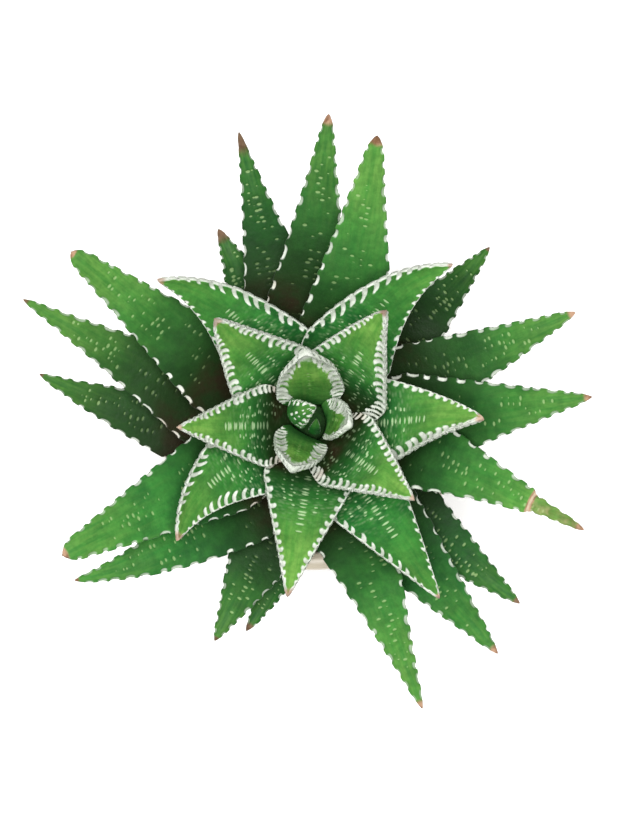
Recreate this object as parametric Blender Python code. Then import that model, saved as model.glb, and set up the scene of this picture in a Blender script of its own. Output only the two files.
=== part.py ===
"""Potted zebra plant: a rosette of thick, pointed leaves on a short stem, in a plain round pot.

Metres, +Z up. The origin is the middle of the pot's foot, on the surface that the pot stands on.
"""

import math
from collections import namedtuple

import bmesh
import bpy
from mathutils import Vector
from mathutils.bvhtree import BVHTree

MM = 0.001
GAP = 0.3 * MM  # between pieces that touch

# Pot
POT_HEIGHT = 62 * MM
POT_RIM_RADIUS = 35 * MM
POT_FOOT_RADIUS = 26 * MM
POT_WALL = 3 * MM
POT_FLOOR = 4 * MM
RIM_BAND_HEIGHT = 9 * MM
RIM_BAND_STEP = 1.2 * MM
POT_SIDES = 48

# Soil
SOIL_BELOW_RIM = 9 * MM
SOIL_CROWN = 2 * MM
SOIL_SIDES = 32

# Stem
STEM_RADIUS = 8.5 * MM
STEM_TOP_RADIUS = 1.3 * MM
STEM_BURIED = 18 * MM
STEM_ROOT_RADIUS = 5 * MM
STEM_SIDES = 16
FIRST_LEAF_ABOVE_SOIL = 7 * MM
LEAF_STEP = 1.2 * MM

# Leaf form, shared by all leaves
LEAF_STATIONS = (0.0, 0.1, 0.22, 0.36, 0.5, 0.64, 0.78, 0.9, 0.97, 1.0)
LEAF_COLUMNS = 5
LEAF_BASE_WIDTH = 0.62
LEAF_WIDEST = 0.3
LEAF_THICKNESS = 0.225
LEAF_EDGE = 0.9 * MM
LEAF_DISH = 0.10
LEAF_CAP = 0.06
LEAF_BEND = 0.2
RAISE_STEP = 0.1 * MM
MOST_RAISES = 80

Leaf = namedtuple("Leaf", "azimuth length width rise lift lean hook roll blunt full")

# From the oldest leaf, lowest on the stem, to the youngest.
# azimuth: where the leaf leaves the stem. length and width: in mm. rise: its slope at the stem.
# lift: how much steeper it ends. lean: how far it turns to one side just past its base. hook: how
# far its tip has turned further. roll: how far its left edge is tipped up. All angles in degrees.
# blunt: the share of the width left at the tip. full: how far its sides bulge, or hollow if below 0.
LEAVES = [
    #    azim length width rise lift lean hook roll blunt full
    Leaf(116, 41, 18, 12, 0, 0, 0, 0, 0.08, 0.0),
    Leaf(267, 43, 16, 8, 2, -12, -20, 0, 0.08, 0.0),
    Leaf(205, 59, 19, 15, 3, -40, -12, 0, 0.06, 0.0),
    Leaf(311, 56, 20, 15, 4, 10, 0, 0, 0.06, 0.05),
    Leaf(38, 50, 19, 16, 6, 7, 4, 0, 0.06, 0.0),
    Leaf(105, 61, 19, 16, 4, -1, 0, 0, 0.06, -0.25),
    Leaf(259, 48, 21, 15, 4, -17, 0, 0, 0.06, 0.1),
    Leaf(185, 67, 20, 19, 4, -35, 0, 0, 0.06, -0.2),
    Leaf(300, 62, 21, 21, 3, 11, 0, 0, 0.06, 0.05),
    Leaf(18, 59, 19, 20, 4, 5, 2, 0, 0.08, 0.05),
    Leaf(98, 65, 20, 22, 4, -14, 0, 0, 0.1, -0.15),
    Leaf(245, 62, 19, 20, 4, -30, -25, 0, 0.06, 0.0),
    Leaf(354, 60, 22, 25, 4, 14, 0, 0, 0.06, 0.0),
    Leaf(160, 63, 20, 24, 4, -19, 0, 0, 0.2, -0.1),
    Leaf(291, 66, 20, 25, 4, 0, 0, 0, 0.06, -0.2),
    Leaf(62, 64, 21, 27, 4, 19, 0, 0, 0.14, -0.1),
    Leaf(351, 64, 19, 27, 4, -13, -8, 0, 0.1, -0.45),
    Leaf(209, 61, 21, 26, 4, -1, 0, 0, 0.2, 0.0),
    Leaf(121, 48, 21.5, 31, 4, 2, 54, -30, 0.06, 0.05),
    Leaf(305, 49, 20, 34, 2, 1, 0, -8, 0.06, 0.1),
    Leaf(64, 50, 21, 35, 2, 0, -56, 30, 0.06, 0.05),
    Leaf(207, 43, 20, 37, 2, 0, 52, -24, 0.06, 0.1),
    Leaf(350, 40, 22, 38, 2, 19, -12, -30, 0.06, 0.1),
    Leaf(133, 36, 22, 46, 4, 1, 0, -8, 0.12, 0.1),
    Leaf(269, 42, 20, 45, -11, -9, 0, 0, 0.06, 0.05),
    Leaf(42, 36, 22, 48, 4, 20, 0, -20, 0.08, 0.15),
    Leaf(187, 35, 18.5, 47, 0, -6, 0, 0, 0.06, 0.1),
    Leaf(315, 34, 19, 48, 0, 10, 0, -10, 0.06, 0.1),
    Leaf(93, 26, 15.5, 62, 8, 3, 4, 0, 0.16, 0.2),
    Leaf(240, 22, 12.5, 67, 8, 13, 0, 0, 0.16, 0.2),
    Leaf(10, 15, 10, 68, 6, -22, -20, 0, 0.2, 0.2),
    Leaf(150, 16, 7, 60, 88, 50, 0, 0, 0.15, 0.2),
    Leaf(280, 8, 3, 84, 60, -20, 0, 0, 0.15, 0.2),
]


def clear_scene():
    for thing in list(bpy.data.objects):
        bpy.data.objects.remove(thing)


def material(name, color, roughness):
    made = bpy.data.materials.new(name)
    made.use_nodes = True
    shader = made.node_tree.nodes["Principled BSDF"]
    shader.inputs["Base Color"].default_value = (*color, 1.0)
    shader.inputs["Roughness"].default_value = roughness
    shader.inputs["Metallic"].default_value = 0.0
    return made


def add_object(name, shape, finish):
    mesh = bpy.data.meshes.new(name)
    shape.to_mesh(mesh)
    shape.free()
    mesh.materials.append(finish)
    made = bpy.data.objects.new(name, mesh)
    bpy.context.scene.collection.objects.link(made)
    return made


def lathe(profile, sides):
    """A closed solid turned about Z from a closed outline of (radius, height) points, counter-clockwise."""
    shape = bmesh.new()
    rings = []
    for step in range(sides):
        turn = 2 * math.pi * step / sides
        ring = [
            shape.verts.new((r * math.cos(turn), r * math.sin(turn), z))
            for r, z in profile
        ]
        rings.append(ring)
    for step in range(sides):
        here, after = rings[step], rings[(step + 1) % sides]
        for k in range(len(profile)):
            j = (k + 1) % len(profile)
            shape.faces.new((here[k], after[k], after[j], here[j]))
    bmesh.ops.remove_doubles(shape, verts=shape.verts, dist=0.001 * MM)
    bmesh.ops.recalc_face_normals(shape, faces=shape.faces)
    return shape


def pot_inner_radius(height):
    """Radius of the pot's inside wall at a height."""
    share = height / POT_HEIGHT
    outer = POT_FOOT_RADIUS + (POT_RIM_RADIUS - RIM_BAND_STEP - POT_FOOT_RADIUS) * share
    return outer - POT_WALL


def make_pot(finish):
    band = POT_HEIGHT - RIM_BAND_HEIGHT
    lip = POT_WALL + RIM_BAND_STEP
    below_band = pot_inner_radius(band) + POT_WALL
    profile = [
        (0, 0),
        (POT_FOOT_RADIUS - 0.8 * MM, 0),
        (POT_FOOT_RADIUS, 0.8 * MM),
        (below_band, band - 1.0 * MM),
        (below_band + RIM_BAND_STEP, band),
        (POT_RIM_RADIUS, POT_HEIGHT - 1.2 * MM),
        (POT_RIM_RADIUS - 1.2 * MM, POT_HEIGHT),
        (POT_RIM_RADIUS - lip + 1.0 * MM, POT_HEIGHT),
        (POT_RIM_RADIUS - lip, POT_HEIGHT - 1.0 * MM),
        (pot_inner_radius(POT_FLOOR + 2 * MM), POT_FLOOR + 2 * MM),
        (pot_inner_radius(POT_FLOOR) - 2 * MM, POT_FLOOR),
        (0, POT_FLOOR),
    ]
    return add_object("pot", lathe(profile, POT_SIDES), finish)


def soil_top(radius):
    """Height of the soil's surface, slightly mounded towards the stem."""
    edge = POT_HEIGHT - SOIL_BELOW_RIM
    wall = pot_inner_radius(edge) - GAP
    return edge + SOIL_CROWN * (1 - (radius / wall) ** 2)


def stem_base_height():
    return soil_top(STEM_RADIUS) - STEM_BURIED


def make_soil(finish):
    floor_top = POT_FLOOR + GAP
    edge = POT_HEIGHT - SOIL_BELOW_RIM
    hole = STEM_RADIUS + GAP
    root_hole = STEM_ROOT_RADIUS + GAP
    bottom = stem_base_height() - GAP
    profile = [
        (0, floor_top),
        (pot_inner_radius(floor_top) - 2 * MM - GAP, floor_top),
        (pot_inner_radius(floor_top + 2 * MM) - GAP, floor_top + 2 * MM),
        (pot_inner_radius(edge) - GAP, edge),
        (0.6 * pot_inner_radius(edge), soil_top(0.6 * pot_inner_radius(edge))),
        (hole, soil_top(hole)),
        (hole, soil_top(hole) - 4 * MM),
        (root_hole, bottom),
        (0, bottom),
    ]
    return add_object("soil", lathe(profile, SOIL_SIDES), finish)


def stem_radius(order):
    """The stem's radius at the leaf of this order: it narrows upwards, slowly at first."""
    share = min(1.0, order / len(LEAVES))
    return STEM_RADIUS + (STEM_TOP_RADIUS - STEM_RADIUS) * share**1.5


def make_stem(heights, finish):
    """The stem runs through the points where the leaves join it."""
    root = stem_base_height()
    ground = soil_top(STEM_RADIUS)
    profile = [(0, root), (STEM_ROOT_RADIUS, root), (STEM_RADIUS, ground - 4 * MM)]
    profile += [(stem_radius(order), heights[order]) for order in range(0, len(LEAVES), 3)]
    top = heights[-1] + LEAF_STEP
    profile += [(STEM_TOP_RADIUS, top), (0, top + 0.3 * MM)]
    return add_object("stem", lathe(profile, STEM_SIDES), finish)


def width_share(leaf, s):
    """Width along the leaf, as a share of its widest: 0 is at the stem and 1 at the tip."""
    if s < LEAF_WIDEST:
        return 1 - (1 - LEAF_BASE_WIDTH) * (1 - s / LEAF_WIDEST) ** 2
    left = (1 - s) / (1 - LEAF_WIDEST)
    share = leaf.blunt + (1 - leaf.blunt) * left * (1 + leaf.full * (1 - left))
    if s > 1 - LEAF_CAP:
        share *= math.sqrt(max(0.1, 1 - ((s - 1 + LEAF_CAP) / LEAF_CAP) ** 2))
    return share


def thickness_share(leaf, s):
    return min(1.0, 0.36 + 1.9 * s) * math.sqrt(width_share(leaf, max(s, LEAF_WIDEST)))


def leaf_frame(leaf, s):
    """Unit vectors at one place on a leaf: along it, to its left, and out of its upper face."""
    turned = min(1.0, s / LEAF_BEND)
    lean = leaf.lean * turned * turned * (3 - 2 * turned)
    heading = math.radians(leaf.azimuth + lean + leaf.hook * s**2)
    rise = math.radians(leaf.rise + leaf.lift * s)
    roll = math.radians(leaf.roll * s)
    flat = Vector((math.cos(heading), math.sin(heading), 0))
    ahead = flat * math.cos(rise) + Vector((0, 0, math.sin(rise)))
    level = Vector((-math.sin(heading), math.cos(heading), 0))
    upright = ahead.cross(level)
    side = level * math.cos(roll) + upright * math.sin(roll)
    return ahead, side, ahead.cross(side)


def leaf_point(leaf, order, height, s):
    """A point on the leaf's midline."""
    turn = math.radians(leaf.azimuth)
    upper_half = LEAF_EDGE / 2 + LEAF_DISH * LEAF_BASE_WIDTH * leaf.width * MM / 2
    outward = stem_radius(order) + GAP + upper_half * math.sin(math.radians(leaf.rise))
    point = Vector((outward * math.cos(turn), outward * math.sin(turn), height))
    steps = 40
    for k in range(steps):
        point += leaf_frame(leaf, s * (k + 0.5) / steps)[0] * (leaf.length * MM * s / steps)
    return point


def leaf_ring(leaf, order, height, s):
    """The outline of a leaf's cross-section: a nearly flat upper face and a rounded back."""
    center = leaf_point(leaf, order, height, s)
    ahead, side, up = leaf_frame(leaf, s)
    half = leaf.width * MM * width_share(leaf, s) / 2
    thick = leaf.width * MM * LEAF_THICKNESS * thickness_share(leaf, s)
    edge = min(LEAF_EDGE, thick) / 2
    top, under = [], []
    for j in range(LEAF_COLUMNS):
        across = 2 * j / (LEAF_COLUMNS - 1) - 1
        dish = LEAF_DISH * half * across**2
        belly = (thick - edge) * (1 - abs(across) ** 1.8)
        rim = center + side * (across * half)
        top.append(rim + up * (dish + edge))
        under.append(rim + up * (dish - edge - belly))
    return top + under[::-1]


def leaf_shape(leaf, order, height):
    shape = bmesh.new()
    rings = []
    for s in LEAF_STATIONS:
        rings.append([shape.verts.new(point) for point in leaf_ring(leaf, order, height, s)])
    count = 2 * LEAF_COLUMNS
    for here, after in zip(rings, rings[1:]):
        for k in range(count):
            j = (k + 1) % count
            shape.faces.new((here[k], here[j], after[j], after[k]))
    for ring in (rings[0], rings[-1]):
        for j in range(LEAF_COLUMNS - 1):
            shape.faces.new((ring[j], ring[j + 1], ring[count - 2 - j], ring[count - 1 - j]))
    bmesh.ops.recalc_face_normals(shape, faces=shape.faces)
    return shape


def make_leaves(pot, finish):
    """Adds the leaves from the oldest up, and returns the height at which each joins the stem.

    A leaf that would cut into the pot or an older leaf moves up the stem until it is clear, and
    so do all the younger ones. At these sizes none has to.
    """
    placed = [BVHTree.FromObject(pot, bpy.context.evaluated_depsgraph_get())]
    heights = []
    height = soil_top(STEM_RADIUS) + FIRST_LEAF_ABOVE_SOIL
    for order, leaf in enumerate(LEAVES):
        for _ in range(MOST_RAISES):
            shape = leaf_shape(leaf, order, height)
            tree = BVHTree.FromBMesh(shape)
            if not any(tree.overlap(other) for other in placed):
                break
            height += RAISE_STEP
            shape.free()
        else:
            shape = leaf_shape(leaf, order, height)
            tree = BVHTree.FromBMesh(shape)
        placed.append(tree)
        add_object(f"leaf_{order + 1:02d}", shape, finish)
        heights.append(height)
        height += LEAF_STEP
    return heights


def main():
    clear_scene()
    ceramic = material("pot", (0.80, 0.75, 0.66), 0.55)
    earth = material("soil", (0.07, 0.045, 0.03), 0.95)
    bark = material("stem", (0.24, 0.27, 0.12), 0.7)
    green = material("leaf", (0.06, 0.30, 0.05), 0.45)
    pot = make_pot(ceramic)
    make_soil(earth)
    heights = make_leaves(pot, green)
    make_stem(heights, bark)


main()
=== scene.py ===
"""Potted zebra plant: the fine surface of every leaf, the stem, the potting mix and the pot.

Metres, +Z up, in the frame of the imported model. Each piece stands for one CAD solid and keeps
its size: the leaf table and the leaf formulas are the ones that the CAD leaves are made with.
Leaves are numbered from 1, the oldest and lowest, as their CAD nodes are. Along a leaf, s runs
from 0 at the stem to 1 at the tip. Across it, across runs from -1 at its right edge to 1 at its
left edge, and half is half of its width there.
"""

import math
from collections import namedtuple

import bpy
import numpy as np
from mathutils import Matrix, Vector


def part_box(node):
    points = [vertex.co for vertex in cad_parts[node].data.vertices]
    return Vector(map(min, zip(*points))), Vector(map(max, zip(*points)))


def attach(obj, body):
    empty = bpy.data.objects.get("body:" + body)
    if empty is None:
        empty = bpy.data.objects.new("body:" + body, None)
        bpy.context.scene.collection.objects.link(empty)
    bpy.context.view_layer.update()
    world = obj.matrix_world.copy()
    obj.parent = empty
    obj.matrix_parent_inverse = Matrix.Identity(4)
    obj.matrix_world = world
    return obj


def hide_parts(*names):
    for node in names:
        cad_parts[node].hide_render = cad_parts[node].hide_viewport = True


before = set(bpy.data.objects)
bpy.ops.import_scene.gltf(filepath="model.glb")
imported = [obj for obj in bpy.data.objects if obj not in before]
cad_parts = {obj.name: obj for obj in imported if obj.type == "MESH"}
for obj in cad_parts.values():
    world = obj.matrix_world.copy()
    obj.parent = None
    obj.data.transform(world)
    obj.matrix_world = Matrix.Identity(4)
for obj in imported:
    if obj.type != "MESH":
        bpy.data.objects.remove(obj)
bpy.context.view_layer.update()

MM = 0.001
FULL_TURN = 2 * math.pi

# ---------------------------------------------------------------- sizes shared with the CAD
POT_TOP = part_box("pot")[1]
SOIL_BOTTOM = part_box("soil")[0].z
STEM_BOTTOM, STEM_TOP = [corner.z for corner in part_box("stem")]
POT_HEIGHT = POT_TOP.z
POT_RIM_RADIUS = POT_TOP.x
POT_FOOT_RADIUS = 26 * MM
POT_WALL = 3 * MM
POT_FLOOR = 4 * MM
RIM_BAND_HEIGHT = 9 * MM
RIM_BAND_STEP = 1.2 * MM
GAP = 0.3 * MM

SOIL_BELOW_RIM = 9 * MM
SOIL_CROWN = 2 * MM
STEM_RADIUS = 8.5 * MM
STEM_TOP_RADIUS = 1.3 * MM
STEM_ROOT_RADIUS = 5 * MM
FIRST_LEAF_ABOVE_SOIL = 7 * MM
LEAF_STEP = 1.2 * MM

LEAF_BASE_WIDTH = 0.62
LEAF_WIDEST = 0.3
LEAF_THICKNESS = 0.225
LEAF_EDGE = 0.9 * MM
LEAF_DISH = 0.10
LEAF_CAP = 0.06
LEAF_BEND = 0.2

Leaf = namedtuple(
    "Leaf",
    "azimuth length width rise lift lean hook roll blunt full left right dry lime dark",
)

# From the oldest leaf to the youngest. The first ten values shape the leaf, as in the CAD.
# left, right: how far the white teeth reach in from each edge, in mm. dry: the dried length of
# the tip, in mm. lime: how far the leaf has the yellow-green of a young one; above 1, on the steep
# heart leaves, it is painted light as well. dark: how dark the old leaf's green is, partly its own
# deeper green and partly painted shade of the leaves above it.
LEAVES = [
    #    azim length width rise lift lean hook roll blunt full left right dry lime dark
    Leaf(116, 41, 18, 12, 0, 0, 0, 0, 0.08, 0.0, 0.45, 0.45, 3, 0.0, 0.9),
    Leaf(267, 43, 16, 8, 2, -12, -20, 0, 0.08, 0.0, 0.45, 0.45, 2, 0.0, 0.9),
    Leaf(205, 59, 19, 15, 3, -40, -12, 0, 0.06, 0.0, 0.45, 0.45, 1.0, 0.1, 1.0),
    Leaf(311, 56, 20, 15, 4, 10, 0, 0, 0.06, 0.05, 0.45, 0.45, 1.5, 0.0, 0.7),
    Leaf(38, 50, 19, 16, 6, 7, 4, 0, 0.06, 0.0, 0.45, 0.45, 0.9, 0.0, 1.0),
    Leaf(105, 61, 19, 16, 4, -1, 0, 0, 0.06, -0.25, 0.45, 0.45, 5, 0.0, 0.75),
    Leaf(259, 48, 21, 15, 4, -17, 0, 0, 0.06, 0.1, 0.6, 0.55, 1, 0.1, 0.8),
    Leaf(185, 67, 20, 19, 4, -35, 0, 0, 0.06, -0.2, 0.6, 0.55, 1.3, 0.4, 0.72),
    Leaf(300, 62, 21, 21, 3, 11, 0, 0, 0.06, 0.05, 0.6, 0.55, 2, 0.1, 0.4),
    Leaf(18, 59, 19, 20, 4, 5, 2, 0, 0.08, 0.05, 0.6, 0.55, 1.6, 0.3, 0.5),
    Leaf(98, 65, 20, 22, 4, -14, 0, 0, 0.1, -0.15, 0.6, 0.55, 2.5, 0.2, 0.6),
    Leaf(245, 62, 19, 20, 4, -30, -25, 0, 0.06, 0.0, 0.6, 0.55, 1, 0.2, 0.2),
    Leaf(354, 60, 22, 25, 4, 14, 0, 0, 0.06, 0.0, 0.7, 0.6, 1.8, 0.3, 0.4),
    Leaf(160, 63, 20, 24, 4, -19, 0, 0, 0.2, -0.1, 0.7, 0.6, 0.8, 0.4, 0.4),
    Leaf(291, 66, 20, 25, 4, 0, 0, 0, 0.06, -0.2, 0.7, 0.6, 2, 0.4, 0.2),
    Leaf(62, 64, 21, 27, 4, 19, 0, 0, 0.14, -0.1, 0.7, 0.6, 2, 0.5, 0.2),
    Leaf(351, 64, 19, 27, 4, -13, -8, 0, 0.1, -0.45, 0.7, 0.6, 2, 0.6, 0.1),
    Leaf(209, 61, 21, 26, 4, -1, 0, 0, 0.2, 0.0, 0.7, 0.6, 1, 0.3, 0.1),
    Leaf(121, 48, 21.5, 31, 4, 2, 54, -30, 0.06, 0.05, 0.9, 3.2, 1.6, 0.4, 0.0),
    Leaf(305, 49, 20, 34, 2, 1, 0, -8, 0.06, 0.1, 0.9, 1.7, 1, 0.3, 0.0),
    Leaf(64, 50, 21, 35, 2, 0, -56, 30, 0.06, 0.05, 3.2, 0.9, 1, 0.4, 0.0),
    Leaf(207, 43, 20, 37, 2, 0, 52, -24, 0.06, 0.1, 2.6, 2.3, 2, 0.6, 0.0),
    Leaf(350, 40, 22, 38, 2, 19, -12, -30, 0.06, 0.1, 1.2, 3.2, 1.6, 0.9, 0.0),
    Leaf(133, 36, 22, 46, 4, 1, 0, -8, 0.12, 0.1, 2.6, 2.8, 1, 0.8, 0.0),
    Leaf(269, 42, 20, 45, -11, -9, 0, 0, 0.06, 0.05, 1.5, 1.5, 2, 1.0, 0.0),
    Leaf(42, 36, 22, 48, 4, 20, 0, -20, 0.08, 0.15, 1.8, 3.6, 1, 0.9, 0.0),
    Leaf(187, 35, 18.5, 47, 0, -6, 0, 0, 0.06, 0.1, 1.8, 1.8, 1, 1.0, 0.0),
    Leaf(315, 34, 19, 48, 0, 10, 0, -10, 0.06, 0.1, 1.8, 2.6, 1, 1.0, 0.0),
    # the heart leaves' lime above 1 paints light onto their steep faces
    Leaf(93, 26, 15.5, 62, 8, 3, 4, 0, 0.16, 0.2, 3.1, 3.1, 0, 1.4, 0.0),
    Leaf(240, 22, 12.5, 67, 8, 13, 0, 0, 0.16, 0.2, 2.8, 2.8, 0, 1.25, 0.0),
    Leaf(10, 15, 10, 68, 6, -22, -20, 0, 0.2, 0.2, 3.5, 1.3, 0, 1.3, 0.0),
    Leaf(150, 16, 7, 60, 88, 50, 0, 0, 0.15, 0.2, 0.5, 0.5, 0, 0.15, 0.35),
    Leaf(280, 8, 3, 84, 60, -20, 0, 0, 0.15, 0.2, 0.2, 0.2, 0, 0.0, 0.9),
]

# The leaf with a withered ring below its tip, where the ring is along it, and how much narrower
# the leaf is at the ring and past it
WITHERED_LEAF = 17
RING_AT = 0.785
RING_SPREAD = 0.008
RING_PINCH = 0.22
PAST_RING_PINCH = 0.24

# The leaf in the heart that leans inward and shows its back. Its bands are further apart and split
# into beads: two rows of them, and one more along each edge.
INWARD_LEAF = 32
INWARD_BANDS = 0.65  # the share of the bands that it has
BEAD_ROWS = (0.35, -0.1)
BEAD_ROW_HALF_WIDTH = 0.12
EDGE_BEADS_FROM = 0.7
YOUNGEST_WHITENESS = 0.25  # of the leaves that are younger than the inward one

# ---------------------------------------------------------------- leaf surface detail
STATION_STEP = 0.28 * MM  # along a leaf
FEWEST_STATIONS = 24
STATION_SPREAD = 0.04  # how much further apart the stations are at the base and the tip
FACE_COLUMNS = 47
BACK_COLUMNS = 37
EDGE_COLUMNS = 5
FACE_ANGLE = 1.5  # radians: the upper face has a greater angle than this, and the back a lesser
EDGE_ANGLE = -0.5  # radians: where a young leaf's raised edge ends
WAVES = 4
WAVE_HEIGHT = 0.22 * MM
FACE_PILLOW = 0.9 * MM  # how far an old leaf's face swells
PILLOW_GROWS = (0.12, 0.48)  # where along the leaf
EDGE_RIDGE = 0.5 * MM  # how far a younger leaf's edge stands above its face
RIDGE_WIDTH = 1.3 * MM
RIDGE_GROWS = (0.0, 0.3)
DRY_PINCH = 0.14  # how much narrower a dried tip is
WRINKLE_HEIGHT = 0.12 * MM
DOT_HEIGHT = 0.22 * MM
SHORTEST_DOTTED = 12 * MM
WHITE_TIP = 4.0 * MM  # how far the white edge of an open heart leaf comes in at its tip

MOST_BANDS = 30
BAND_CROWDING = 0.15  # how much closer the raised bands are at the base and the tip
BAND_ARCH = 0.55  # how far the middle of a band on the back lies towards the stem, in spacings
BAND_HALF_WIDTH = 0.27  # of a band on the back, in spacings
TOOTH_SHIFT = 0.14  # the most that a tooth is out of its place, in spacings

# The rows of dots on the upper face: where across the leaf, from and to where along it, half of
# a dot's length across in mm, and the share of the dots that is there
OLD_DOT_ROWS = (
    (-0.45, 0.15, 0.85, 0.60, 0.65),
    (-0.12, 0.12, 0.75, 0.65, 1.0),
    (0.15, 0.20, 0.85, 0.65, 0.85),
    (0.48, 0.15, 0.80, 0.60, 0.55),
)
YOUNG_DOT_ROWS = (
    (0.0, 0.24, 0.62, 1.0, 0.85),
    (0.30, 0.16, 0.48, 0.5, 0.85),
    (-0.30, 0.16, 0.48, 0.5, 0.85),
    (0.55, 0.12, 0.42, 0.4, 0.85),
    (-0.55, 0.12, 0.42, 0.4, 0.85),
)
HEART_DOT_ROWS = ((0.0, 0.30, 0.62, 0.45, 0.9),)

# How leaves differ with age: a value each for the old, the grown, the young and the heart leaves
AGE_TABLE = {
    # the number of the first leaf of this age
    "first": (1, 19, 23, 29),
    # how much fuller and blunter than its CAD solid it is, and how long its rounded tip is
    "fuller": (0.0, 0.0, 0.0, 0.5),
    "blunter": (0.0, 0.0, 0.0, 0.27),
    "round_tip": (LEAF_CAP, LEAF_CAP, LEAF_CAP, 0.38),
    # how many raised bands it has from the stem to the tip, and how far they stand out
    "bands": (18, 20, 22, 13),
    "height": (0.40 * MM, 0.36 * MM, 0.36 * MM, 0.36 * MM),
    # half of a tooth's width, in spacings, and how much narrower its neck is than its inner end
    "fill": (0.36, 0.24, 0.34, 0.45),
    "neck": (0.0, 0.16, 0.16, 0.16),
    # from what to what the teeth's lengths and widths vary
    "lengths": ((0.45, 1.3), (0.78, 1.18), (0.78, 1.18), (0.78, 1.18)),
    "widths": ((0.5, 1.2), (0.85, 1.2), (0.85, 1.2), (0.85, 1.2)),
    # how long a tooth's rounded inner end is, beside half of its width
    "tooth_end": (0.5, 1.0, 1.0, 1.0),
    # how far a tooth's inner end lies towards the stem, for each mm of its reach
    "slant": (0.3, 1.15, 0.7, 1.4),
    # the most of the half width that a tooth may cross
    "reach_limit": (0.42, 0.45, 0.55, 0.70),
    # from where the teeth have all of their reach, and how much of it they lose at the tip
    "full_from": (0.25, 0.5, 0.25, 0.25),
    "tip_loss": (0.4, 0.4, 0.4, 0.0),
    # the width of the white line that joins the teeth at the edge, as a share of their reach
    "strip": (0.0, 0.12, 0.28, 0.30),
    # how firmly the white is kept off the base
    "bare_base": (0.0, 0.0, 0.0, 1.5),
    # the dots: their rows, their spacing along the leaf, half of a dot's length along it, from
    # what to what their sizes vary, and the share that is there: on average, and how far it
    # swings from clump to clump
    "dot_rows": (OLD_DOT_ROWS, YOUNG_DOT_ROWS, YOUNG_DOT_ROWS, HEART_DOT_ROWS),
    "dot_step": (0.024, 0.026, 0.026, 0.05),
    "dot_length": (0.31 * MM, 0.27 * MM, 0.27 * MM, 0.27 * MM),
    "dot_sizes": ((0.5, 1.15), (0.85, 1.25), (0.85, 1.25), (0.85, 1.25)),
    "dot_clumps": ((0.55, 0.6), (1.0, 0.0), (1.0, 0.0), (1.0, 0.0)),
    # how much of their whiteness the teeth lose towards the tip
    "tip_fading": (0.7, 0.0, 0.0, 0.0),
    # the yellow-green: how much of it is at the stem, and how much more at the tip
    "ripe": ((0.0, 1.0), (0.0, 1.0), (0.0, 1.0), (0.35, 0.7)),
    # whether the face has fine pale specks near the stem
    "speckled": (0.0, 1.0, 1.0, 0.0),
    # from where the painted shade near the stem, where the leaves above would cover the leaf, fades,
    # and where it ends: for a leaf that isn't dark, and how much further out for a dark one
    "shade_fades": ((0.12, 0.15), (0.0, 0.0), (0.14, 0.0), (-0.6, 0.0)),
    "shade_ends": ((0.62, 0.38), (0.48, 0.0), (0.48, 0.0), (0.48, 0.0)),
    # how strongly the dried tip shows
    "dryness": (1.0, 0.75, 0.75, 0.75),
}
Age = namedtuple("Age", AGE_TABLE)
AGES = [Age(*values) for values in zip(*AGE_TABLE.values())]
OLD, HEART = AGES[0], AGES[-1]


def clear_start_objects():
    """Removes the cube, camera and light that a new Blender file has."""
    for name in ("Cube", "Camera", "Light"):
        if name in bpy.data.objects:
            bpy.data.objects.remove(bpy.data.objects[name])


def smooth_share(value, low, high):
    """0 up to low, 1 from high on, and a smooth rise between them."""
    share = np.clip((value - low) / (high - low), 0.0, 1.0)
    return share * share * (3 - 2 * share)


def age_of(number):
    return [age for age in AGES if age.first <= number][-1]


# ---------------------------------------------------------------- leaf shape
def pot_inner_radius(height):
    share = height / POT_HEIGHT
    outer = POT_FOOT_RADIUS + (POT_RIM_RADIUS - RIM_BAND_STEP - POT_FOOT_RADIUS) * share
    return outer - POT_WALL


def soil_top(radius):
    edge = POT_HEIGHT - SOIL_BELOW_RIM
    wall = pot_inner_radius(edge) - GAP
    return edge + SOIL_CROWN * (1 - (radius / wall) ** 2)


def stem_radius(steps):
    """The stem's radius, so many leaf steps above its first leaf."""
    share = np.minimum(1.0, steps / len(LEAVES))
    return STEM_RADIUS + (STEM_TOP_RADIUS - STEM_RADIUS) * share**1.5


def leaf_height(number):
    return soil_top(STEM_RADIUS) + FIRST_LEAF_ABOVE_SOIL + LEAF_STEP * (number - 1)


def width_share(leaf, s, fuller=0.0, blunter=0.0, round_tip=LEAF_CAP):
    """Width along the leaf, as a share of its widest."""
    near = 1 - (1 - LEAF_BASE_WIDTH) * (1 - np.minimum(s, LEAF_WIDEST) / LEAF_WIDEST) ** 2
    left = (1 - s) / (1 - LEAF_WIDEST)
    blunt = leaf.blunt + blunter
    far = blunt + (1 - blunt) * left * (1 + (leaf.full + fuller) * (1 - left))
    cap = np.clip((s - 1 + round_tip) / round_tip, 0.0, 1.0)
    return np.where(s < LEAF_WIDEST, near, far) * np.sqrt(1 - cap**2)


def thickness_share(leaf, s):
    return np.minimum(1.0, 0.36 + 1.9 * s) * np.sqrt(width_share(leaf, np.maximum(s, LEAF_WIDEST)))


def columns(*parts):
    return np.stack(np.broadcast_arrays(*parts), axis=-1)


def leaf_axes(leaf, s):
    """Unit vectors along the leaf, to its left, and out of its upper face, at each place s."""
    turned_share = np.minimum(1.0, s / LEAF_BEND)
    lean = leaf.lean * turned_share * turned_share * (3 - 2 * turned_share)
    heading = np.radians(leaf.azimuth + lean + leaf.hook * s**2)
    rise = np.radians(leaf.rise + leaf.lift * s)
    roll = np.radians(leaf.roll * s)[:, None]
    ahead = columns(np.cos(heading) * np.cos(rise), np.sin(heading) * np.cos(rise), np.sin(rise))
    level = columns(-np.sin(heading), np.cos(heading), 0 * s)
    upright = np.cross(ahead, level)
    side = level * np.cos(roll) + upright * np.sin(roll)
    return ahead, side, np.cross(ahead, side)


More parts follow.
